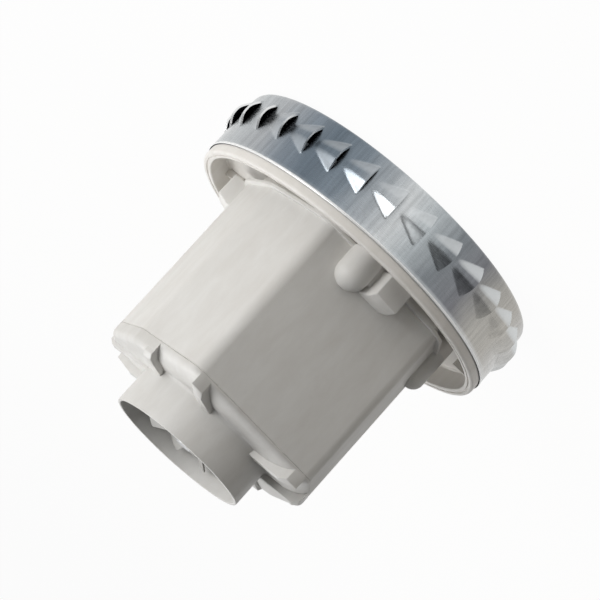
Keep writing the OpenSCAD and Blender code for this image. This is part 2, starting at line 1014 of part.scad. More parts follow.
// The cooling fan: a hub on the shaft with tilted flat blades
module cooling_fan() {
  color("gainsboro")
    difference() {
      union() {
        translate([0, 0, cooling_z])
          cylinder(r = cooling_hub_r, h = cooling_h);
        intersection() {
          for (i = [0:cooling_blade_count - 1])
            rotate([0, 0, i * 360 / cooling_blade_count])
              translate([cooling_hub_r - 1, 0, cooling_z + cooling_h / 2])
                rotate([cooling_blade_tilt, 0, 0])
                  translate([0, -cooling_chord / 2, -cooling_blade_t / 2])
                    cube([cooling_fan_r, cooling_chord, cooling_blade_t]);
          translate([0, 0, cooling_z])
            cylinder(r = cooling_fan_r, h = cooling_h);
        }
      }
      translate([0, 0, cooling_z - 1])
        cylinder(r = shaft_r + seat_gap, h = cooling_h + 2);
    }
}

fan_housing();
bracket_ring();
hood_screws();
motor_hood();
rear_cover();
stator_core();
field_coil_left();
field_coil_right();
stator_screws();
brush_holder_front();
brush_holder_back();
brush_front();
brush_back();
brush_spring_front();
brush_spring_back();
terminal_tabs();
front_bearing_outer();
front_bearing_inner();
front_bearing_balls();
rear_bearing_outer();
rear_bearing_inner();
rear_bearing_balls();
rear_bearing_sleeve();
shaft();
rotor_core();
armature_winding();
commutator();
shaft_spacer();
impeller_back_plate();
impeller_front_plate();
impeller_blades();
impeller_washers();
impeller_nut();
cooling_fan();
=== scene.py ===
# %% [markdown]
# This script dresses a vacuum cleaner's motor unit for its photograph. The unit is a louvred
# sheet metal drum with a fan inside, a white plastic bracket, a moulded motor hood and a cover
# with a short round tube. The exact solids are loaded first and stay where they are, and the
# pieces that show are made again with the softer edges and pressed forms of the real ones.

# %% Load the solids
import json
import math

import bmesh
import bpy
from mathutils import Matrix, Vector

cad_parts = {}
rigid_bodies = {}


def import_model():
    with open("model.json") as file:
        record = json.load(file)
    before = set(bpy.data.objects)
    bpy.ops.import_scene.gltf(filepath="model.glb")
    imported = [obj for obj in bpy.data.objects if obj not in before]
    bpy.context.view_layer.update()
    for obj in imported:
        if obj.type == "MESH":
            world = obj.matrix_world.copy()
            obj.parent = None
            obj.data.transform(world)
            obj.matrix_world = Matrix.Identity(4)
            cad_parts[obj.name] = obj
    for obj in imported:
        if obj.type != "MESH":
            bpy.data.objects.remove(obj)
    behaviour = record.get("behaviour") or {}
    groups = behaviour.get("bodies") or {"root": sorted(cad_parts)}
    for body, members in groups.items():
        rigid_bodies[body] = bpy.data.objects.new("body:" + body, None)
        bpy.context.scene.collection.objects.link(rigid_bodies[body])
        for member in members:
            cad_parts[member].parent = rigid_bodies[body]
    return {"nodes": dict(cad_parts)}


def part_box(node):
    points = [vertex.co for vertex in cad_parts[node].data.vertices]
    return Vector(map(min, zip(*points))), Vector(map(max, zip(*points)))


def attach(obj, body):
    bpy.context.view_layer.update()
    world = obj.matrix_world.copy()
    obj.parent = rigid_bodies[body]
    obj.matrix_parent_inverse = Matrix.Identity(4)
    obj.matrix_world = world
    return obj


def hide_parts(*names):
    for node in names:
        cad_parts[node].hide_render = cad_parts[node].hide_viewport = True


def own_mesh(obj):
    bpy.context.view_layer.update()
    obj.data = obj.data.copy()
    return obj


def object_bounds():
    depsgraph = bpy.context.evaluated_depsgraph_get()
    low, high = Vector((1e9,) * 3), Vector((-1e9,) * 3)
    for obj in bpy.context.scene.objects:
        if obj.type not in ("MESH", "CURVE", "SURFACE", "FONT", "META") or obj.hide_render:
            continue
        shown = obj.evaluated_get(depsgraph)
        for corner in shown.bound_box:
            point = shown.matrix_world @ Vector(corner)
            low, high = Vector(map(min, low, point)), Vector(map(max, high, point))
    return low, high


for left_over in list(bpy.data.objects):
    bpy.data.objects.remove(left_over)
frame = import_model()
nodes = frame["nodes"]
cad_low, cad_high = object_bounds()
print("solids:", len(nodes), "box in mm:", [round(1000 * s, 1) for s in cad_high - cad_low])

# %% [markdown]
# All sizes below are written in millimetres from the middle of the suction face, with the shaft
# along Z, as a maker would measure them. The shaft's own solid tells where that line stands in
# the scene, so one small matrix turns millimetres there into metres here.

# %% Find the shaft line
shaft_low, shaft_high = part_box("shaft")
shaft_line = (shaft_low + shaft_high) / 2
TO_SCENE = Matrix.Translation((shaft_line.x, shaft_line.y, cad_low.z)) @ Matrix.Scale(0.001, 4)
print("shaft line in mm:", round(1000 * shaft_line.x, 2), round(1000 * shaft_line.y, 2))

# %% [markdown]
# The camera stands where the photographer's did: in front of the unit and a little above it,
# with a long lens, and rolled so that the tube points down to the left. Its place came from the
# ellipses that the tube's mouth and the drum's rim make in the picture.

# %% Set up the camera
to_right = Vector((-0.64489, -0.39117, -0.65659))
to_top = Vector((0.67885, 0.10152, -0.72723))
to_back = Vector((0.35112, -0.91470, 0.20008))
eye = TO_SCENE @ Vector((415.095, -1069.588, 284.389))

lens = bpy.data.cameras.new("studio_camera")
lens.lens = 174.53
lens.sensor_width = 36
camera = bpy.data.objects.new("studio_camera", lens)
turn = Matrix((to_right, to_top, to_back)).transposed().to_4x4()
camera.matrix_world = Matrix.Translation(eye) @ turn
bpy.context.scene.collection.objects.link(camera)
bpy.context.scene.camera = camera
bpy.context.scene.view_settings.view_transform = "Standard"
print("camera is", round((eye - shaft_line).length, 3), "m from the unit")

# %% [markdown]
# A finish is a tree of shader nodes. A few helpers keep the trees short. One turns a hex colour,
# as a designer writes it, into the linear numbers that the shader needs, and one adds a node
# together with its settings and the wires that come into it. The others make what every finish
# needs: a ramp of colours, a stretched range of greys, a second colour painted over the first
# one, and a fine relief.

# %% Helpers for finishes
MIX_UNDER, MIX_OVER, MIX_RESULT = 6, 7, 2
NOISE_LOW, NOISE_HIGH = 0.3, 0.7


def paint(code):
    parts = [int(code[i:i + 2], 16) / 255 for i in (0, 2, 4)]
    linear = [c / 12.92 if c <= 0.04045 else ((c + 0.055) / 1.055) ** 2.4 for c in parts]
    return (*linear, 1.0)


def add(tree, kind, wires=None, **settings):
    made = tree.nodes.new(kind)
    for key, value in settings.items():
        if key.startswith("in_"):
            made.inputs[key[3:].replace("_", " ")].default_value = value
        else:
            setattr(made, key, value)
    for place, source in (wires or {}).items():
        tree.links.new(source, made.inputs[place])
    return made


def new_finish(name, colour, metallic, roughness, ior=None):
    finish = bpy.data.materials.new(name)
    finish.use_nodes = True
    shader = finish.node_tree.nodes["Principled BSDF"]
    shader.inputs["Base Color"].default_value = paint(colour)
    shader.inputs["Metallic"].default_value = metallic
    shader.inputs["Roughness"].default_value = roughness
    if ior:
        shader.inputs["IOR"].default_value = ior
    return finish, finish.node_tree, shader


def ramp_of(tree, source, stops):
    ramp = add(tree, "ShaderNodeValToRGB", {"Fac": source})
    bar = ramp.color_ramp
    while len(bar.elements) < len(stops):
        bar.elements.new(0.5)
    for element, (place, code) in zip(bar.elements, stops):
        element.position = place
        element.color = paint(code)
    return ramp.outputs["Color"]


def grey_of(tree, source, low, high, to_low=0.0, to_high=1.0):
    return add(tree, "ShaderNodeMapRange", {"Value": source}, in_From_Min=low, in_From_Max=high,
               in_To_Min=to_low, in_To_Max=to_high).outputs["Result"]


def painted_over(tree, share, under, code):
    mix = add(tree, "ShaderNodeMix", {"Factor": share, MIX_UNDER: under}, data_type="RGBA")
    mix.inputs[MIX_OVER].default_value = paint(code)
    return mix.outputs[MIX_RESULT]


def relief(tree, shader, height, strength, distance):
    bump = add(tree, "ShaderNodeBump", {"Height": height}, in_Strength=strength,
               in_Distance=distance)
    tree.links.new(bump.outputs["Normal"], shader.inputs["Normal"])


print("finish helpers ready")

# %% [markdown]
# The unit stands on a plain pale floor under soft lamps. The floor and the air behind it look
# white because their own colour is white to the camera and to reflections. A small share of the
# floor's look is still real light, which is what keeps the soft shadow under the drum.

# %% The floor
FLOOR_RADIUS, FLOOR_GAP, FLOOR_GLOW = 6.0, 0.0003, 0.96


def white_to_eye_and_gloss(tree, share):
    path = add(tree, "ShaderNodeLightPath")
    seen = path.outputs["Is Camera Ray"]
    for kind in ("Is Glossy Ray", "Is Transmission Ray"):
        both = add(tree, "ShaderNodeMath", {0: seen, 1: path.outputs[kind]}, operation="MAXIMUM")
        seen = both.outputs[0]
    part = add(tree, "ShaderNodeMath", {0: seen}, operation="MULTIPLY")
    part.inputs[1].default_value = share
    return part.outputs[0], path.outputs["Is Camera Ray"]


table = bmesh.new()
bmesh.ops.create_circle(table, cap_ends=True, segments=96, radius=FLOOR_RADIUS)
table_mesh = bpy.data.meshes.new("floor")
table.to_mesh(table_mesh)
table.free()
floor = bpy.data.objects.new("floor", table_mesh)
floor.location.z = cad_low.z - FLOOR_GAP
bpy.context.scene.collection.objects.link(floor)

floor_finish, tree, shader = new_finish("pale_floor", "DEDAD3", metallic=0.0, roughness=0.9)
glow = add(tree, "ShaderNodeEmission", in_Color=(1, 1, 1, 1), in_Strength=1.0)
share, _ = white_to_eye_and_gloss(tree, FLOOR_GLOW)
mix = add(tree, "ShaderNodeMixShader", {0: share, 1: shader.outputs[0], 2: glow.outputs[0]})
tree.links.new(mix.outputs[0], tree.nodes["Material Output"].inputs["Surface"])
table_mesh.materials.append(floor_finish)
print("floor at", round(floor.location.z, 4), "m")

# %% [markdown]
# The background is one colour with three strengths. It lights the unit softly and mostly from
# the key lamp's side. A reflection finds it white all round, but darker where the camera stands,
# as a room is behind a photographer. The camera itself sees it plain white.

# %% The background
KEY_SIDE = (0.74, 0.05, 0.67)


def facing(tree, around, direction):
    towards = add(tree, "ShaderNodeVectorMath", {0: around}, operation="DOT_PRODUCT")
    towards.inputs[1].default_value = tuple(direction)
    return towards.outputs["Value"]


world = bpy.data.worlds.new("studio")
world.use_nodes = True
tree = world.node_tree
sky = tree.nodes["Background"]
sky.inputs["Color"].default_value = (1, 1, 1, 1)
around = add(tree, "ShaderNodeTexCoord").outputs["Generated"]
soft = grey_of(tree, facing(tree, around, KEY_SIDE), low=-0.5, high=1.0, to_high=0.16)
gloss = grey_of(tree, facing(tree, around, to_back), low=0.1, high=0.85, to_low=1.0,
                to_high=0.22)
share, eye_ray = white_to_eye_and_gloss(tree, 1.0)
level = add(tree, "ShaderNodeMix", {0: share, 2: soft, 3: gloss}, data_type="FLOAT")
level = add(tree, "ShaderNodeMix", {0: eye_ray, 2: level.outputs[0]}, data_type="FLOAT")
level.inputs[3].default_value = 1.0
tree.links.new(level.outputs[0], sky.inputs["Strength"])
bpy.context.scene.world = world
print("background:", world.name)

# %% [markdown]
# The photograph's brightest side faces +X, and the side towards the camera is in half shade. One
# large soft lamp stands on that side, a little towards the camera. A second one stands high
# behind the unit, and lights the cover and the ring. Both point at the middle of the hood.

# %% Lamps
LIT_POINT = (0, 0, 60)


def soft_lamp(name, place, power, size):
    lamp = bpy.data.lights.new(name, "AREA")
    lamp.energy = power
    lamp.size = size
    holder = bpy.data.objects.new(name, lamp)
    holder.location = TO_SCENE @ Vector(place)
    aim = (TO_SCENE @ Vector(LIT_POINT)) - holder.location
    holder.rotation_euler = aim.to_track_quat("-Z", "Y").to_euler()
    bpy.context.scene.collection.objects.link(holder)


soft_lamp("key_lamp", (1000, -300, 560), power=8.3, size=0.8)
soft_lamp("top_lamp", (230, 620, 1500), power=13.2, size=0.9)
print("lamps:", len(bpy.data.lights))

# %% [markdown]
# Moulded plastic is never quite one colour. The glass fibre in it makes faint flow marks a few
# millimetres wide, the tool leaves a fine spark-eroded grain, and handling leaves light scuffs.
# The grain is about 0.15 mm on the real part, and is drawn at 0.35 mm so that it still shows.

# %% Finishes: moulded plastic
PLASTIC_IOR = 1.52


def moulded_plastic(name, light, dark, roughness, scuffs=0.25):
    finish, tree, shader = new_finish(name, light, 0.0, roughness, PLASTIC_IOR)
    where = add(tree, "ShaderNodeTexCoord").outputs["Object"]
    drawn = add(tree, "ShaderNodeMapping", {"Vector": where}, in_Scale=(1.0, 1.0, 0.35))
    flow = add(tree, "ShaderNodeTexNoise", {"Vector": drawn.outputs[0]}, in_Scale=150.0,
               in_Detail=4.0, in_Roughness=0.6, in_Distortion=0.3)
    shade = ramp_of(tree, flow.outputs["Fac"], [(NOISE_LOW, dark), (NOISE_HIGH, light)])
    stretched = add(tree, "ShaderNodeMapping", {"Vector": where}, in_Rotation=(0.4, 0.7, 0.3),
                    in_Scale=(1.0, 6.0, 1.0))
    marks = add(tree, "ShaderNodeTexNoise", {"Vector": stretched.outputs[0]}, in_Scale=420.0,
                in_Detail=2.0)
    marked = grey_of(tree, marks.outputs["Fac"], low=0.66, high=0.74, to_high=scuffs)
    tree.links.new(painted_over(tree, marked, shade, dark), shader.inputs["Base Color"])
    rough = grey_of(tree, flow.outputs["Fac"], NOISE_LOW, NOISE_HIGH, roughness + 0.06,
                    roughness - 0.04)
    tree.links.new(rough, shader.inputs["Roughness"])
    grain = add(tree, "ShaderNodeTexNoise", {"Vector": where}, in_Scale=2900.0, in_Detail=1.0)
    relief(tree, shader, grain.outputs["Fac"], strength=0.12, distance=0.0002)
    return finish


hood_finish = moulded_plastic("hood_polyester_grey", "E3E2DF", "DBD9D5", roughness=0.5)
cover_finish = moulded_plastic("cover_polyester_grey", "DDDCD9", "D4D2CE", roughness=0.45)
ring_finish = moulded_plastic("bracket_polyester_white", "ECE9E5", "E4E1DB", roughness=0.4,
                              scuffs=0.15)
fan_finish = moulded_plastic("fan_nylon_grey", "A6A5A1", "989792", roughness=0.4, scuffs=0.1)
print("plastics: 4")

# %% [markdown]
# The drum is deep drawn from galvanised sheet. Its wall gets upright bands from steel blue to
# nearly white. They are partly the zinc's own uneven tone and mostly painted reflections of a
# studio. A gradient that runs once round the shaft carries these bands, with a little noise in it
# so that they aren't ruled. Fine upright streaks, 1 to 2 mm apart, are multiplied over them.

# %% The drum's painted reflection bands
REFLECTION_BANDS = [(0.00, "A2A7A9"), (0.06, "B9BAB9"), (0.105, "B4B3B0"), (0.147, "AAA7A1"),
             (0.18, "A3A19C"), (0.214, "75767A"), (0.25, "7B8084"), (0.28, "ABB1B4"),
             (0.303, "CDD0D1"), (0.325, "A7ACB0"), (0.356, "7B858E"), (0.392, "66717B"),
             (0.422, "828B94"), (0.458, "A9ACAF"), (0.5, "B9BDBF"), (0.547, "D0D2D2"),
             (0.61, "9AA2A8"), (0.66, "6C7780"), (0.72, "BFC4C6"), (0.79, "87919A"),
             (0.86, "6E7981"), (0.93, "B4B9BB"), (1.0, "A2A7A9")]
WANDER = 0.012


def zinc_with_painted_reflections(tree, where):
    clouds = add(tree, "ShaderNodeTexNoise", {"Vector": where}, in_Scale=55.0, in_Detail=3.0)
    shift = add(tree, "ShaderNodeVectorMath", {0: clouds.outputs["Color"]}, operation="SCALE",
                in_Scale=WANDER)
    bent = add(tree, "ShaderNodeVectorMath", {0: where, 1: shift.outputs[0]}, operation="ADD")
    centred = add(tree, "ShaderNodeVectorMath", {0: bent.outputs[0]}, operation="ADD")
    centred.inputs[1].default_value = (-WANDER / 2, -WANDER / 2, -WANDER / 2)
    round_it = add(tree, "ShaderNodeTexGradient", {"Vector": centred.outputs[0]},
                   gradient_type="RADIAL")
    zinc = ramp_of(tree, round_it.outputs["Fac"], REFLECTION_BANDS)
    upright = add(tree, "ShaderNodeMapping", {"Vector": where}, in_Scale=(1.0, 1.0, 0.05))
    streaks = add(tree, "ShaderNodeTexNoise", {"Vector": upright.outputs[0]}, in_Scale=620.0,
                  in_Detail=3.0, in_Roughness=0.7)
    streak = grey_of(tree, streaks.outputs["Fac"], NOISE_LOW, NOISE_HIGH, to_low=0.82,
                     to_high=1.14)
    tone = add(tree, "ShaderNodeMix", {MIX_UNDER: zinc, MIX_OVER: streak}, data_type="RGBA",
               blend_type="MULTIPLY")
    tone.inputs["Factor"].default_value = 1.0
    return tone.outputs[MIX_RESULT]


print("bands round the drum:", len(REFLECTION_BANDS) - 1)

# %% [markdown]
# The louvres' sloped flanks are painted paler than the wall, as a painted highlight where the
# flanks catch the light, and they are made rougher. A flank is found by how far the surface leans
# along Z. On the half towards +X both flanks get it, and on the other half only the flank that
# is turned to the suction face, but more. The bend below the wall leans too, so the first
# millimetres are left out.

# %% Where the louvres get a painted highlight
FLANK_HIGHLIGHT = [(0.0, "A0A0A0"), (0.2, "909090"), (0.45, "000000"), (0.55, "000000"), (0.8, "808080"),
          (1.0, "909090")]
LOWER_FLANK_HIGHLIGHT = [(0.0, "E8E8E8"), (0.25, "D8D8D8"), (0.45, "000000"), (1.0, "000000")]
FULL_LEAN = 0.6
BEND_END, WALL_START = 0.0035, 0.0043


def flank_highlight_share(tree, place):
    # The share of painted highlight on each louvre flank, by how the flank leans.
    normal = add(tree, "ShaderNodeTexCoord").outputs["Normal"]
    lean = add(tree, "ShaderNodeSeparateXYZ", {0: normal}).outputs["Z"]
    tilted = grey_of(tree, lean, -FULL_LEAN, FULL_LEAN)
    both_flanks = ramp_of(tree, tilted, FLANK_HIGHLIGHT)
    one_flank = ramp_of(tree, tilted, LOWER_FLANK_HIGHLIGHT)
    towards_x = grey_of(tree, place.outputs["X"], low=-0.005, high=0.02)
    flank_highlight = add(tree, "ShaderNodeMix",
                 {"Factor": towards_x, MIX_UNDER: one_flank, MIX_OVER: both_flanks},
                 data_type="RGBA")
    on_wall = grey_of(tree, place.outputs["Z"], BEND_END, WALL_START)
    return add(tree, "ShaderNodeMath", {0: flank_highlight.outputs[MIX_RESULT], 1: on_wall},
               operation="MULTIPLY").outputs[0]


print("louvres lean fully at a normal's Z of", FULL_LEAN)

# %% [markdown]
# The whole finish paints these things over the bands, one after the other. A painted highlight
# runs round the top of the wall at the bead by the drum's mouth, where the metal is also made
# less metallic. The cut edges of the slits are bright, because that metal is freshly worked. The
# side of the sheet that faces the impeller is painted dark and dull, as painted shade that makes
# the louvres' mouths look black. Two face marks of the mesh, made with the louvres below, say
# where cut edges and inner side are. Fine hair lines run round the wall, and the highlight is
# drawn out along them.

# %% Finish: galvanised sheet
BEAD_HIGHLIGHT_START, BEAD_HIGHLIGHT_FULL = 0.0274, 0.0278


def galvanised_sheet(name):
    finish, tree, shader = new_finish(name, "8F99A1", metallic=1.0, roughness=0.27)
    where = add(tree, "ShaderNodeTexCoord").outputs["Object"]
    place = add(tree, "ShaderNodeSeparateXYZ", {0: where})
    flank_highlight = flank_highlight_share(tree, place)
    # Painted highlight: the top of the wall at the bead turns near white and less metallic.
    bead = grey_of(tree, place.outputs["Z"], BEAD_HIGHLIGHT_START, BEAD_HIGHLIGHT_FULL)
    cut_edge = add(tree, "ShaderNodeAttribute", attribute_name="cut_edge").outputs["Fac"]
    inner_side_shade = add(tree, "ShaderNodeAttribute", attribute_name="inner_side_shade").outputs["Fac"]
    colour = zinc_with_painted_reflections(tree, where)
    # Painted over the bands: the flank highlight, the bead highlight, the cut edges and the
    # painted shade inside.
    for share, code in ((flank_highlight, "E2E5E6"), (bead, "F4F5F5"), (cut_edge, "E9EAEA"),
                        # Painted shade: the faces that look to the shaft are dark, so that the
                        # louvres' mouths look black.
                        (inner_side_shade, "24262A")):
        colour = painted_over(tree, share, colour, code)
    tree.links.new(colour, shader.inputs["Base Color"])
    metal = grey_of(tree, place.outputs["Z"], BEAD_HIGHLIGHT_START, BEAD_HIGHLIGHT_FULL, to_low=1.0,
                    to_high=0.35)
    tree.links.new(metal, shader.inputs["Metallic"])
    lines = add(tree, "ShaderNodeMapping", {"Vector": where}, in_Scale=(1.0, 1.0, 14.0))
    hair = add(tree, "ShaderNodeTexNoise", {"Vector": lines.outputs[0]}, in_Scale=260.0,
               in_Detail=2.0).outputs["Fac"]
    rough = grey_of(tree, hair, NOISE_LOW, NOISE_HIGH, to_low=0.2, to_high=0.36)
    flank_rough = grey_of(tree, flank_highlight, low=0.0, high=0.6, to_low=0.2, to_high=0.62)
    for rougher in (flank_rough, inner_side_shade):
        rough = add(tree, "ShaderNodeMath", {0: rough, 1: rougher},
                    operation="MAXIMUM").outputs[0]
    tree.links.new(rough, shader.inputs["Roughness"])
    relief(tree, shader, hair, strength=0.18, distance=0.0002)
    shader.inputs["Anisotropic"].default_value = 0.4
    along = add(tree, "ShaderNodeTangent", direction_type="RADIAL", axis="Z")
    tree.links.new(along.outputs[0], shader.inputs["Tangent"])
    return finish


drum_finish = galvanised_sheet("galvanised_drum_sheet")
print("drum finish ready")

# %% [markdown]
# The metal inside is turned, stamped or wound. One recipe makes all the plain metals: a base
# colour, a lighter and a darker cloud of it, and fine machining lines across the direction of
# the work. The lamination stack and the windings get their own recipe after it.

# %% Finishes: worked metal
FINE_LINES, COARSE_LINES = 900.0, 500.0


def worked_metal(name, light, dark, roughness, line_scale=FINE_LINES):
    finish, tree, shader = new_finish(name, light, 1.0, roughness)
    where = add(tree, "ShaderNodeTexCoord").outputs["Object"]
    cloud = add(tree, "ShaderNodeTexNoise", {"Vector": where}, in_Scale=120.0, in_Detail=3.0)
    shade = ramp_of(tree, cloud.outputs["Fac"], [(0.35, dark), (0.65, light)])
    tree.links.new(shade, shader.inputs["Base Color"])
    stretched = add(tree, "ShaderNodeMapping", {"Vector": where}, in_Scale=(1.0, 1.0, 6.0))
    lines = add(tree, "ShaderNodeTexNoise", {"Vector": stretched.outputs[0]},
                in_Scale=line_scale, in_Detail=1.0).outputs["Fac"]
    rough = grey_of(tree, lines, NOISE_LOW, NOISE_HIGH, roughness - 0.06, roughness + 0.1)
    tree.links.new(rough, shader.inputs["Roughness"])
    relief(tree, shader, lines, strength=0.1, distance=0.0001)
    return finish


bearing_finish = worked_metal("ground_bearing_steel", "C9CACB", "A9ABAD", roughness=0.2)
screw_finish = worked_metal("zinc_plated_screw_steel", "C5C8CB", "9EA3A8", roughness=0.32)
impeller_finish = worked_metal("rolled_aluminium_sheet", "D2D4D6", "B4B7BA", roughness=0.33,
                               line_scale=COARSE_LINES)
commutator_finish = worked_metal("commutator_copper", "C98A62", "9C5F3E", roughness=0.3)
brass_finish = worked_metal("stamped_brass", "D8BC7A", "B2935A", roughness=0.3)
print("metals: 5")

# %% [markdown]
# Stator and rotor are stacks of thin steel sheets. The real sheets are 0.5 mm thick, and their
# edges are drawn 2 mm apart so that they show. The windings are varnished copper wire 0.6 mm
# thick, drawn as bands 1.8 mm apart with the varnish as a clear coat. Brushes are pressed carbon,
# and the sleeve that holds the rear bearing is soft rubber. A wave texture makes all the bands.
# At a scale of 1 its wave runs through 20 radians in a metre, and that gives the scale for a
# wanted distance from band to band.

# %% Finishes: stack, winding, carbon and rubber
WAVE_RADIANS = 20.0


def banded(name, light, dark, metallic, roughness, apart_mm, direction, strength, distance,
           coat=0.0):
    finish, tree, shader = new_finish(name, light, metallic, roughness)
    shader.inputs["Coat Weight"].default_value = coat
    where = add(tree, "ShaderNodeTexCoord").outputs["Object"]
    bands = add(tree, "ShaderNodeTexWave", {"Vector": where}, bands_direction=direction,
                wave_profile="SIN", in_Scale=1000.0 * math.tau / (WAVE_RADIANS * apart_mm),
                in_Distortion=0.4, in_Detail=1.0).outputs["Fac"]
    shade = ramp_of(tree, bands, [(0.15, dark), (0.6, light)])
    tree.links.new(shade, shader.inputs["Base Color"])
    relief(tree, shader, bands, strength, distance)
    return finish


stack_finish = banded("electrical_steel_stack", "8C8E90", "4B4C4E", metallic=0.9,
                      roughness=0.42, apart_mm=2.0, direction="Z", strength=0.4,
                      distance=0.0003)
wire_finish = banded("varnished_copper_wire", "B4662E", "5A2A12", metallic=0.6,
                     roughness=0.35, apart_mm=1.8, direction="Z", strength=0.6,
                     distance=0.0004, coat=0.5)
carbon_finish = banded("pressed_carbon", "37373A", "1F1F21", metallic=0.0,
                       roughness=0.55, apart_mm=3.2, direction="X", strength=0.15,
                       distance=0.0001)
rubber_finish = banded("bearing_rubber", "2B2B2C", "1B1B1C", metallic=0.0,
                       roughness=0.75, apart_mm=2.8, direction="Z", strength=0.2,
                       distance=0.0002)
print("stack, wire, carbon and rubber ready")

# %% [markdown]
# Every solid gets the finish of what it is, also where a piece made below will stand for it,
# so nothing in the unit is left plain when somebody opens it up.

# %% Give every solid its finish
FINISH_OF = {
    drum_finish: ["fan_housing"],
    ring_finish: ["bracket_ring"],
    hood_finish: ["motor_hood"],
    cover_finish: ["rear_cover"],
    fan_finish: ["cooling_fan"],
    screw_finish: ["hood_screws", "stator_screws", "brush_spring_front", "brush_spring_back",
                   "impeller_washers", "impeller_nut"],
    bearing_finish: ["front_bearing_outer", "front_bearing_inner", "front_bearing_balls",
                     "rear_bearing_outer", "rear_bearing_inner", "rear_bearing_balls",
                     "shaft", "shaft_spacer"],
    stack_finish: ["stator_core", "rotor_core"],
    wire_finish: ["field_coil_left", "field_coil_right", "armature_winding"],
    carbon_finish: ["brush_front", "brush_back"],
    brass_finish: ["brush_holder_front", "brush_holder_back", "terminal_tabs"],
    commutator_finish: ["commutator"],
    impeller_finish: ["impeller_back_plate", "impeller_front_plate", "impeller_blades"],
    rubber_finish: ["rear_bearing_sleeve"],
}
dressed = set()
for finish, names in FINISH_OF.items():
    for name in names:
        nodes[name].data.materials.clear()
        nodes[name].data.materials.append(finish)
        dressed.add(name)
print("solids with a finish:", len(dressed), "left over:", sorted(set(nodes) - dressed))

# %% [markdown]
# Pieces are modelled in millimetres with mesh operators. A turned piece is a section spun
# round the shaft line, and a moulded block is a cube or a flat outline pulled up, with its edges
# softened. A piece with many parts makes each part in a mesh of its own and takes it in when it
# is ready, so that an operator on one part can't touch its neighbours.

# %% Helpers for shapes
scratch = bpy.data.meshes.new("scratch")


def everything(bm):
    return list(bm.verts) + list(bm.edges) + list(bm.faces)


def verts_in(geometry):
    return [g for g in geometry if isinstance(g, bmesh.types.BMVert)]


def rounding(bm, geometry, width, segments=2, affect="EDGES"):
    bmesh.ops.bevel(bm, geom=geometry, offset=width, offset_type="OFFSET", segments=segments,
                    profile=0.5, affect=affect, clamp_overlap=True, material=-1)


def turned(bm, section, steps):
    corners = [bm.verts.new((r, 0, z)) for r, z in section]
    edges = [bm.edges.new((corners[i - 1], corners[i])) for i in range(len(corners))]
    bmesh.ops.spin(bm, geom=corners + edges, cent=(0, 0, 0), axis=(0, 0, 1), angle=math.tau,
                   steps=steps, use_merge=True, use_duplicate=False)


def turn_round(bm, verts, angle):
    bmesh.ops.rotate(bm, verts=verts, cent=(0, 0, 0), matrix=Matrix.Rotation(angle, 3, "Z"))


def box_of(size, centre):
    bm = bmesh.new()
    bmesh.ops.create_cube(bm, size=1)
    bmesh.ops.scale(bm, vec=size, verts=bm.verts)
    bmesh.ops.translate(bm, vec=centre, verts=bm.verts)
    return bm


def take_in(bm, part):
    part.to_mesh(scratch)
    part.free()
    bm.from_mesh(scratch)


print("shape helpers ready")

# %% [markdown]
# The last helper hands a piece over. It welds what touches, moves the mesh to its place in the
# scene, shades it smooth between its sharp edges, gives it its finish, hangs it on the body it
# rides on and hides the solids it stands for.

# %% Handing a piece over
WELD = 0.0005


def hand_over(name, bm, finish, body, stands_for, sharp):
    bmesh.ops.remove_doubles(bm, verts=bm.verts, dist=WELD)
    bmesh.ops.recalc_face_normals(bm, faces=bm.faces)
    bmesh.ops.transform(bm, matrix=TO_SCENE, verts=bm.verts)
    mesh = bpy.data.meshes.new(name)
    bm.to_mesh(mesh)
    bm.free()
    mesh.shade_smooth()
    mesh.set_sharp_from_angle(angle=math.radians(sharp))
    mesh.materials.append(finish)
    piece = bpy.data.objects.new(name, mesh)
    bpy.context.scene.collection.objects.link(piece)
    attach(piece, body)
    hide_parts(*stands_for)
    triangles = sum(len(p.vertices) - 2 for p in mesh.polygons)
    print(name, "has", triangles, "triangles")
    return piece


print("points closer than", WELD, "mm are welded")

# %% [markdown]
# The drum's wall is one strip of sheet with 31 louvres. On the real one a tool slits the sheet
# and presses the metal behind the slit outwards. The same is done here to one flat field of
# sheet: a grid gets a slit by splitting its edges, the metal on one side is raised over a
# rounded punch, and the field is bent to the drum's radius. The punch is highest at the slit,
# and gets lower and narrower away from it. A small bead runs round near the drum's mouth.

# %% One field of the louvred wall
DRUM_R, SHEET, LOUVRES, FIRST_LOUVRE = 72.2, 0.8, 31, -68.4
SLIT_Z, SLIT_HALF, RISE, RUN = 12.1, 7.3, 3.3, 12.2
BEAD_Z, BEAD_WIDE, BEAD_HIGH = 28.0, 0.45, 0.28
FIELD = math.tau * DRUM_R / LOUVRES
CLOSE, RING_WELD = 1e-4, 0.02
columns = [-2.0, -1.2, -0.5, 0.0, 0.3, 0.7, 1.2, 1.8, 2.5, 3.2, 3.9, 4.6, 5.4, 6.2, 7.0, 7.8,
           8.6, 9.5, 10.4, 11.3, 12.2, FIELD - 2.0]
rows = [2.5, 3.3] + [4.1 + 0.5517 * k for k in range(30)] + [21.0, 23.4, 25.6, 27.2, 27.8, 28.3,
                                                            28.6]


def punch_height(along, up):
    left = 1 - min(max(along / RUN, 0.0), 1.0)
    across = abs(up - SLIT_Z) / (SLIT_HALF * (0.3 + 0.7 * left))
    flank = min(max((1 - across) / 0.9, 0.0), 1.0)
    return RISE * left ** 1.1 * flank * (1.5 - 0.5 * flank * flank)


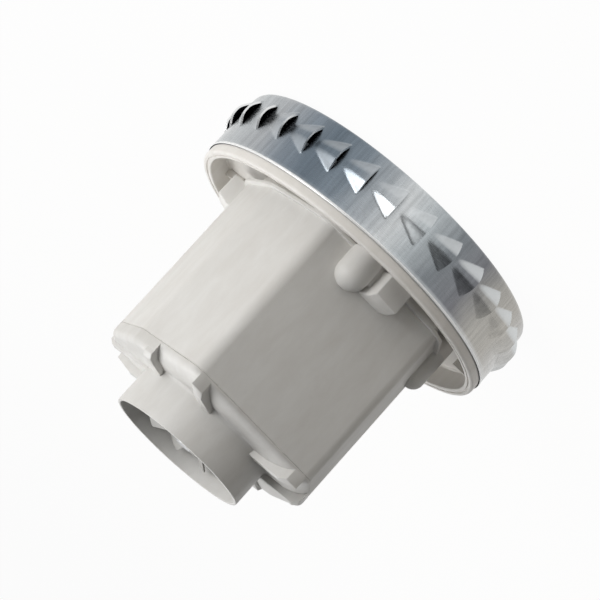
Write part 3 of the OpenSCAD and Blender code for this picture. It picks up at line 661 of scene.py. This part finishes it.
drum = bmesh.new()
bmesh.ops.create_grid(drum, x_segments=len(columns) - 1, y_segments=len(rows) - 1, size=1.0)
for v in drum.verts:
    i = round((v.co.x + 1) / 2 * (len(columns) - 1))
    j = round((v.co.y + 1) / 2 * (len(rows) - 1))
    v.co = Vector((columns[i], rows[j], 0))
slit = [e for e in drum.edges if all(abs(v.co.x) < CLOSE for v in e.verts)
        and all(abs(v.co.y - SLIT_Z) < SLIT_HALF for v in e.verts)]
bmesh.ops.split_edges(drum, edges=slit)
behind_slit = {v for v in drum.verts
               if sum(f.calc_center_median().x for f in v.link_faces) / len(v.link_faces) > 0}
for v in drum.verts:
    raised = v in behind_slit and v.co.x > -CLOSE and abs(v.co.y - SLIT_Z) < SLIT_HALF
    height = punch_height(v.co.x, v.co.y) if raised else 0.0
    bead = BEAD_HIGH * math.exp(-((v.co.y - BEAD_Z) / BEAD_WIDE) ** 2)
    angle = v.co.x / DRUM_R
    radius = DRUM_R + height + bead
    v.co = Vector((radius * math.cos(angle), radius * math.sin(angle), v.co.y))
print("one field has", len(drum.faces), "faces and a slit of", len(slit), "edges")

# %% [markdown]
# The other 30 fields are copies, turned round the shaft and welded into a ring. The sheet is
# still a skin without thickness, so it is thickened inwards, and for this all faces have to
# look outwards first. Then the faces that the finish paints on their own are marked: the ones
# that look to the shaft, which get painted shade, and the narrow ones that the slits have cut.

# %% The ring of louvres
LOOKS_IN, EDGE_ON, UPRIGHT = -0.3, 0.3, 0.6
field = everything(drum)
turn_round(drum, drum.verts, math.radians(FIRST_LOUVRE))
for k in range(1, LOUVRES):
    made = bmesh.ops.duplicate(drum, geom=field)["geom"]
    turn_round(drum, verts_in(made), k * math.tau / LOUVRES)
bmesh.ops.remove_doubles(drum, verts=drum.verts, dist=RING_WELD)
bmesh.ops.recalc_face_normals(drum, faces=drum.faces)
sample = max(drum.faces, key=lambda f: f.calc_center_median().x)
if sample.normal.dot(sample.calc_center_median()) <= 0:
    bmesh.ops.reverse_faces(drum, faces=drum.faces)
bmesh.ops.solidify(drum, geom=list(drum.faces), thickness=SHEET)
bmesh.ops.recalc_face_normals(drum, faces=drum.faces)
inner_side_shade = drum.faces.layers.float.new("inner_side_shade")
cut_edge = drum.faces.layers.float.new("cut_edge")
for f in drum.faces:
    outwards = f.calc_center_median().xy.normalized().dot(f.normal.xy)
    f[inner_side_shade] = 1.0 if outwards < LOOKS_IN else 0.0
    f[cut_edge] = 1.0 if abs(outwards) < EDGE_ON and abs(f.normal.z) < UPRIGHT else 0.0
print("inner faces:", sum(f[inner_side_shade] > 0 for f in drum.faces),
      "cut edges:", sum(f[cut_edge] > 0 for f in drum.faces))
radii = [math.hypot(v.co.x, v.co.y) for v in drum.verts]
print("drum wall from", round(min(radii), 2), "to", round(max(radii), 2), "mm")

# %% [markdown]
# The suction face is spun from the sheet's own section: a round bend from the wall, a flat
# ring, a shallow dish and a collar turned in round the inlet. Spinning a closed section gives
# both sides of the sheet at once.

# %% The suction face
face_section = [(72.2, 2.5), (72.0, 1.55), (71.47, 0.73), (70.65, 0.19), (69.7, 0.0),
                (34.6, 0.0), (33.4, 0.35), (32.6, 1.2), (31.8, 1.6), (25.6, 1.6), (24.5, 1.9),
                (24.0, 2.6), (24.0, 5.6), (24.8, 5.6), (24.8, 3.0), (25.4, 2.4), (32.1, 2.4),
                (33.3, 2.0), (34.0, 1.15), (35.0, 0.8), (69.7, 0.8), (70.35, 0.93), (70.9, 1.3),
                (71.27, 1.85), (71.4, 2.5)]
turned(drum, face_section, steps=186)
hand_over("fan_drum", drum, drum_finish, "housing", ["fan_housing"], sharp=38)

# %% [markdown]
# Hood and cover share one outline of eight flat sides. It is drawn as eight corners, worked out
# from each side's direction and its distance from the shaft, and a vertex bevel rounds them. A
# wider or a narrower corner needs its own bevel width to end at the same radius.

# %% The hood's outline
SIDES = [(-90, 42.5), (-30, 49.6), (0, 50.0), (30, 49.6),
         (90, 42.5), (150, 49.6), (180, 50.0), (210, 49.6)]
WIDE_CORNERS, NARROW_CORNERS = (0, 3, 4, 7), (1, 2, 5, 6)


def outline_face(bm, grow, radius, z):
    corners = []
    for k, (a, d) in enumerate(SIDES):
        b, e = SIDES[(k + 1) % 8]
        a, b, d, e = math.radians(a), math.radians(b), d + grow, e + grow
        x = (d * math.sin(b) - e * math.sin(a)) / math.sin(b - a)
        y = (e * math.cos(a) - d * math.cos(b)) / math.sin(b - a)
        corners.append(bm.verts.new((x, y, z)))
    bm.faces.new(corners)
    for half_turn, group in ((30, WIDE_CORNERS), (15, NARROW_CORNERS)):
        width = radius * math.tan(math.radians(half_turn))
        rounding(bm, [corners[k] for k in group], width, segments=8, affect="VERTICES")
    flat = [f for f in bm.faces if abs(f.calc_center_median().z - z) < CLOSE]
    return max(flat, key=lambda f: f.calc_area())


trial = bmesh.new()
outline = outline_face(trial, grow=0, radius=6, z=0)
print("outline area in mm2:", round(outline.calc_area()), "corners:", len(outline.verts))
trial.free()

# %% [markdown]
# The hood is an open box with thin moulded walls. Its outline is pulled up, both ends are inset
# by the wall's thickness, and the two insets are bridged to make the inside. The same steps make
# the flange with wide corners at its foot, and the skirt that goes down into the bracket. The
# top edges that show are softened a little, as a mould leaves them, so they catch the light.

# %% The hood's walls
HOOD_Z, HOOD_TOP = 28.8, 106.2


def pulled(bm, face, way):
    grown = bmesh.ops.extrude_face_region(bm, geom=[face])["geom"]
    bmesh.ops.translate(bm, vec=way, verts=verts_in(grown))
    return [g for g in grown if isinstance(g, bmesh.types.BMFace)][0]


def hollowed(bm, wall):
    cap = max(bm.faces, key=lambda f: (round(f.calc_center_median().z, 3), f.calc_area()))
    base = min(bm.faces, key=lambda f: (round(f.calc_center_median().z, 3), -f.calc_area()))
    for face in (cap, base):
        bmesh.ops.inset_region(bm, faces=[face], thickness=wall, use_even_offset=True)
    rims = list(cap.edges) + list(base.edges)
    bmesh.ops.delete(bm, geom=[cap, base], context="FACES_ONLY")
    bmesh.ops.bridge_loops(bm, edges=rims)


def open_box(grow, radius, z, height, wall, edge=0.0, segments=2):
    bm = bmesh.new()
    top = pulled(bm, outline_face(bm, grow, radius, z), (0, 0, height))
    if edge:
        rounding(bm, list(top.edges), edge, segments)
    hollowed(bm, wall)
    return bm


hood = open_box(grow=0, radius=6, z=HOOD_Z, height=HOOD_TOP - HOOD_Z, wall=2.5, edge=0.35)
flange = open_box(grow=2.0, radius=14, z=HOOD_Z, height=1.5, wall=2.4, edge=0.4, segments=3)
skirt = open_box(grow=-3.4, radius=3, z=HOOD_Z - 5.3, height=6.0, wall=1.5)
take_in(hood, flange)
take_in(hood, skirt)
print("hood walls up to", round(max(v.co.z for v in hood.verts), 2), "mm")

# %% [markdown]
# At the hood's foot stand three blocks that the bracket's latches hold, and round bosses for
# screws, one of them joined to its block by a web. A block is a cube whose top corner is cut off
# by a sloped plane, and a boss is spun with a round dome.

# %% The hood's blocks, bosses and web
LUG_OVERLAP, LUG_WIDE, LUG_HIGH, LUG_STEP, LUG_SLOPE = 1.4, 12.0, 10.3, 1.7, 5.0
BOSS_X, BOSS_Y, BOSS_R, BOSS_HIGH = 13.0, 45.4, 7.1, 9.2
SMALL_BOSS_AT, SMALL_BOSS_TURN = 50.5, math.radians(201)
WEB_SIZE, WEB_CENTRE = (10.0, 6.0, 8.6), (7.0, -44.6, HOOD_Z + 4.3)


def lug_block(angle, side, out):
    inner, outer = side - LUG_OVERLAP, side + out
    size = Vector((outer - inner, LUG_WIDE, LUG_HIGH + LUG_STEP))
    block = box_of(size, ((outer + inner) / 2, 0, HOOD_Z + size.z / 2))
    cut = bmesh.ops.bisect_plane(block, geom=everything(block), clear_outer=True,
                                 plane_co=(outer, 0, HOOD_Z + LUG_HIGH),
                                 plane_no=(LUG_STEP, 0, LUG_SLOPE))["geom_cut"]
    bmesh.ops.contextual_create(block, geom=[g for g in cut if isinstance(g, bmesh.types.BMEdge)])
    shown = [e for e in block.edges if max(v.co.x for v in e.verts) > inner + 0.1]
    rounding(block, shown, width=0.55, segments=3)
    turn_round(block, block.verts, math.radians(angle))
    return block


def screw_boss(x, y, radius, height):
    boss = bmesh.new()
    dome = [(radius * math.cos(math.radians(t)), height + radius * math.sin(math.radians(t)))
            for t in range(0, 90, 9)]
    turned(boss, [(0, 0), (radius, 0)] + dome + [(0, height + radius)], steps=48)
    bmesh.ops.translate(boss, vec=(x, y, HOOD_Z), verts=boss.verts)
    return boss


for angle, side, out in ((-91.6, 42.5, 13.5), (28.4, 49.6, 7.9), (148.4, 49.6, 7.9)):
    take_in(hood, lug_block(angle, side, out))
web = box_of(WEB_SIZE, WEB_CENTRE)
outer_edges = [e for e in web.edges if max(v.co.y for v in e.verts) < -46
               and min(v.co.z for v in e.verts) > HOOD_Z + 1]
rounding(web, outer_edges, width=1.2, segments=4)
take_in(hood, web)
take_in(hood, screw_boss(BOSS_X, -BOSS_Y, BOSS_R, BOSS_HIGH))
take_in(hood, screw_boss(BOSS_X, BOSS_Y, BOSS_R, BOSS_HIGH))
take_in(hood, screw_boss(SMALL_BOSS_AT * math.cos(SMALL_BOSS_TURN),
                         SMALL_BOSS_AT * math.sin(SMALL_BOSS_TURN), radius=5, height=13.7))
hand_over("hood_shell", hood, hood_finish, "housing", ["motor_hood"],
          sharp=30)

# %% [markdown]
# The cover clips over the hood's end. Its edge is a thin lip, then it swells up to a flat top in
# a soft crown. The crown is a stack of outlines, each a little smaller, higher and with tighter
# corners than the one below, joined by bridges. An inset would cross itself at the corners,
# because it keeps their centres.

# %% The cover's plate
COVER_TOP, TUBE_R, TUBE_IN, HOLE_R = 111.5, 31.4, 29.9, 30.7
CROWN = [(-0.25, 5.75, HOOD_TOP), (0, 6, HOOD_TOP + 0.25), (0, 6, 107.2), (-0.4, 5.6, 107.9),
         (-1.4, 4.6, 108.9), (-3.2, 3.2, 109.9), (-5.6, 2.2, 110.8), (-8.8, 1.4, COVER_TOP)]


def bare_outline(bm, grow, radius, z):
    face = outline_face(bm, grow, radius, z)
    rim = list(face.edges)
    bmesh.ops.delete(bm, geom=[face], context="FACES_ONLY")
    return rim


cover = bmesh.new()
rims = [bare_outline(cover, grow, radius, z) for grow, radius, z in CROWN]
for below, above in zip(rims, rims[1:]):
    bmesh.ops.bridge_loops(cover, edges=below + above)
holes = []
for rim, z in ((rims[0], HOOD_TOP), (rims[-1], COVER_TOP)):
    hole = bmesh.ops.create_circle(cover, segments=96, radius=HOLE_R)["verts"]
    bmesh.ops.translate(cover, vec=(0, 0, z), verts=hole)
    holes.append(list({e for v in hole for e in v.link_edges}))
    bmesh.ops.bridge_loops(cover, edges=rim + holes[-1])
bmesh.ops.bridge_loops(cover, edges=holes[0] + holes[1])
print("plate top at", round(max(v.co.z for v in cover.verts), 2), "mm")

# %% [markdown]
# Both short ends of the cover are raised blocks with rounded outer corners. A block is a flat
# outline that reaches in to the tube, with its two outer corners on the hood's own sides, pulled
# up and softened along its outer edge.

# %% The cover's end blocks
END_SIDE, END_SLANT, END_RADIUS, END_RISE = 50.06, 49.66, 6, 0.8


def end_block(side):
    block = bmesh.new()
    slant = math.radians(30)
    corner_y = (END_SLANT - END_SIDE * math.cos(slant)) / math.sin(slant)
    reach = [(29.4, 8.47), (44.02, 23.07), (END_SIDE, corner_y), (END_SIDE, -corner_y),
             (44.02, -23.07), (29.4, -8.47), (30.5, -3.0), (30.7, 0.0), (30.5, 3.0)]
    points = [block.verts.new((x * side, y, HOOD_TOP + 0.5)) for x, y in reach]
    block.faces.new(points)
    rounding(block, points[2:4], END_RADIUS * math.tan(slant / 2), segments=6,
             affect="VERTICES")
    face = max(block.faces, key=lambda f: f.calc_area())
    top = pulled(block, face, (0, 0, COVER_TOP - HOOD_TOP + END_RISE))
    outer = [e for e in top.edges if all(v.co.x * side > 43 for v in e.verts)]
    rounding(block, outer, width=2.8, segments=6)
    return block


for side in (-1, 1):
    take_in(cover, end_block(side))
print("end blocks up to", round(max(v.co.z for v in cover.verts), 2), "mm")

# %% [markdown]
# Eight flat ribs with crisp edges stand on the cover, two at each corner, and run from its edge
# in to the tube. One rib is a flat side view pulled to its thickness. Its inner end is moved
# into the tube's wall and its outer end to just inside the hood's side, then it is turned to
# the corner and mirrored. The tube for the cooling air stands in the middle.

# %% The cover's ribs and tube
RIB_FOOT, RIB_ROOT, RIB_END, RIB_THICK = HOOD_TOP + 1, 20, 48, 4.2
ROOT_R, END_OFF, LONG_OFF = 30.65, 49.55, 60.05
SIN_15, COS_15 = 0.2588, 0.9659


def clip_rib(near, beside_end, sx, sy):
    rib = bmesh.new()
    line = [(RIB_ROOT, RIB_FOOT), (RIB_END, RIB_FOOT), (RIB_END, COVER_TOP + 1.2),
            (44.2, COVER_TOP + 2.9), (RIB_ROOT, COVER_TOP + 2.6)]
    flat = rib.faces.new([rib.verts.new((d, near, z)) for d, z in line])
    pulled(rib, flat, (0, RIB_THICK, 0))
    for v in rib.verts:
        if v.co.x < RIB_ROOT + 1:
            v.co.x = math.sqrt(ROOT_R ** 2 - v.co.y ** 2)
        elif v.co.x > RIB_END - 0.1:
            v.co.x = (END_OFF - SIN_15 * v.co.y) / COS_15 if beside_end else LONG_OFF + v.co.y
    upper = [e for e in rib.edges if max(v.co.z for v in e.verts) > HOOD_TOP + 2
             and max(v.co.x for v in e.verts) > 31]
    rounding(rib, upper, width=0.3)
    turn_round(rib, rib.verts, math.radians(-45))
    bmesh.ops.scale(rib, vec=(sx, sy, 1), verts=rib.verts)
    return rib


for sx in (-1, 1):
    for sy in (-1, 1):
        take_in(cover, clip_rib(near=14.8, beside_end=True, sx=sx, sy=sy))
        take_in(cover, clip_rib(near=-12.4, beside_end=False, sx=sx, sy=sy))
turned(cover, [(TUBE_IN, HOOD_TOP), (TUBE_R, HOOD_TOP), (TUBE_R, 111.0), (32.3, 111.4),
               (31.8, 111.9), (31.5, 112.6), (TUBE_R, 113.4), (TUBE_R, 129.1), (31.25, 129.4),
               (31.0, 129.5), (30.2, 129.5), (30.0, 129.4), (TUBE_IN, 129.1)],
       steps=160)
print("tube up to", round(max(v.co.z for v in cover.verts), 2), "mm")

# %% [markdown]
# Inside the tube four arms carry the cup of the rear bearing. They are plain moulded bars with
# soft edges, and the cup is spun from its section.

# %% The cover's spider
ARMS, ARM_SIZE, ARM_CENTRE = 4, (16.6, 4.5, 6.5), (22.2, 0, 108.25)

for k in range(ARMS):
    arm = box_of(ARM_SIZE, ARM_CENTRE)
    long_edges = [e for e in arm.edges if abs(e.verts[0].co.x - e.verts[1].co.x) > 1]
    rounding(arm, long_edges, width=0.6)
    turn_round(arm, arm.verts, math.radians(45 + 90 * k))
    take_in(cover, arm)
turned(cover, [(10, 105), (14.2, 105), (14.5, 105.3), (14.5, 113.0), (14.1, 113.4), (12.9, 113.4),
               (12.52, 113.0), (12.52, 106.2), (10, 106.2)], steps=96)
hand_over("cover_shell", cover, cover_finish, "housing", ["rear_cover"],
          sharp=30)

# %% [markdown]
# A coil spring of round wire pushes each carbon brush. The wire's section is turned round the
# spring's axis while it moves along it, and both ends are capped. The outer end sits in the
# holder's cap.

# %% The brush springs
SPRING_Z, COIL_R, WIRE_R, TURNS, TURN_STEPS = 96.0, 2.25, 0.3, 6, 20
SPRING_IN, SPRING_OUT, PUSHED_SHARE = 28.1, 38.6, 0.71


def coil_spring(start):
    bm = bmesh.new()
    bmesh.ops.create_circle(bm, segments=8, radius=WIRE_R)
    bmesh.ops.translate(bm, vec=(COIL_R, start + WIRE_R, SPRING_Z), verts=bm.verts)
    climb = (SPRING_OUT - SPRING_IN - 2 * WIRE_R) / (TURNS * TURN_STEPS)
    bmesh.ops.spin(bm, geom=list(bm.verts) + list(bm.edges), cent=(0, 0, SPRING_Z),
                   axis=(0, 1, 0), dvec=(0, climb, 0), angle=math.tau * TURNS,
                   steps=TURNS * TURN_STEPS, use_merge=False, use_duplicate=False)
    bmesh.ops.holes_fill(bm, edges=[e for e in bm.edges if e.is_boundary], sides=0)
    return bm


for end, side, start in (("front", -1, -SPRING_OUT), ("back", 1, SPRING_IN)):
    spring = hand_over("coil_spring_" + end, coil_spring(start), screw_finish, "housing",
                       ["brush_spring_" + end], sharp=40)
    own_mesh(spring)

# %% [markdown]
# The cooling fan is moulded in one piece with eleven thin blades. One blade starts as a flat
# grid. It is cambered and twisted, flatter towards its tip, bent round the shaft so that its tip
# follows the tube, and set lower at its root than at its tip. Then it gets its thickness, and
# ten copies are turned round the hub.

# %% The cooling fan
BLADES, FIRST_BLADE, BLADE_ROOT, BLADE_LONG = 11, 65.5, 8.0, 18.0
BLADE_Z, BLADE_HIGH, ROOT_DROP, BLADE_THICK = 120.6, 9.3, 4.0, 0.9
TILT, TWIST, CAMBER = 52, 12, 1.7

cooling = bmesh.new()
bmesh.ops.create_grid(cooling, x_segments=12, y_segments=10, size=0.5)
for v in cooling.verts:
    out, across = v.co.x + 0.5, v.co.y
    radius = BLADE_ROOT + BLADE_LONG * out
    tilt = math.radians(TILT - TWIST * out)
    chord = BLADE_HIGH / math.sin(tilt)
    camber = CAMBER * (1 - 4 * across * across)
    round_it = across * chord * math.cos(tilt) - camber * math.sin(tilt)
    along = across * chord * math.sin(tilt) + camber * math.cos(tilt)
    angle = round_it / radius + math.radians(FIRST_BLADE)
    v.co = Vector((radius * math.cos(angle), radius * math.sin(angle),
                   BLADE_Z + along - ROOT_DROP * (1 - out)))
bmesh.ops.solidify(cooling, geom=list(cooling.faces), thickness=BLADE_THICK)
bmesh.ops.spin(cooling, geom=everything(cooling), cent=(0, 0, 0), axis=(0, 0, 1),
               steps=BLADES - 1, angle=math.tau * (BLADES - 1) / BLADES, use_duplicate=True,
               use_merge=False)
turned(cooling, [(4.02, 115.0), (8.2, 115.0), (8.5, 115.3), (8.5, 124.2), (7.7, 125.0),
                 (5.2, 125.0), (4.9, 124.4), (4.02, 124.4)], steps=64)
cooling_fan = hand_over("cooling_fan_wheel", cooling, fan_finish, "rotor",
                        ["cooling_fan"], sharp=30)
fan_z = [1000 * v.co.z for v in cooling_fan.data.vertices]
print("fan from", round(min(fan_z), 1), "to", round(max(fan_z), 1), "mm")
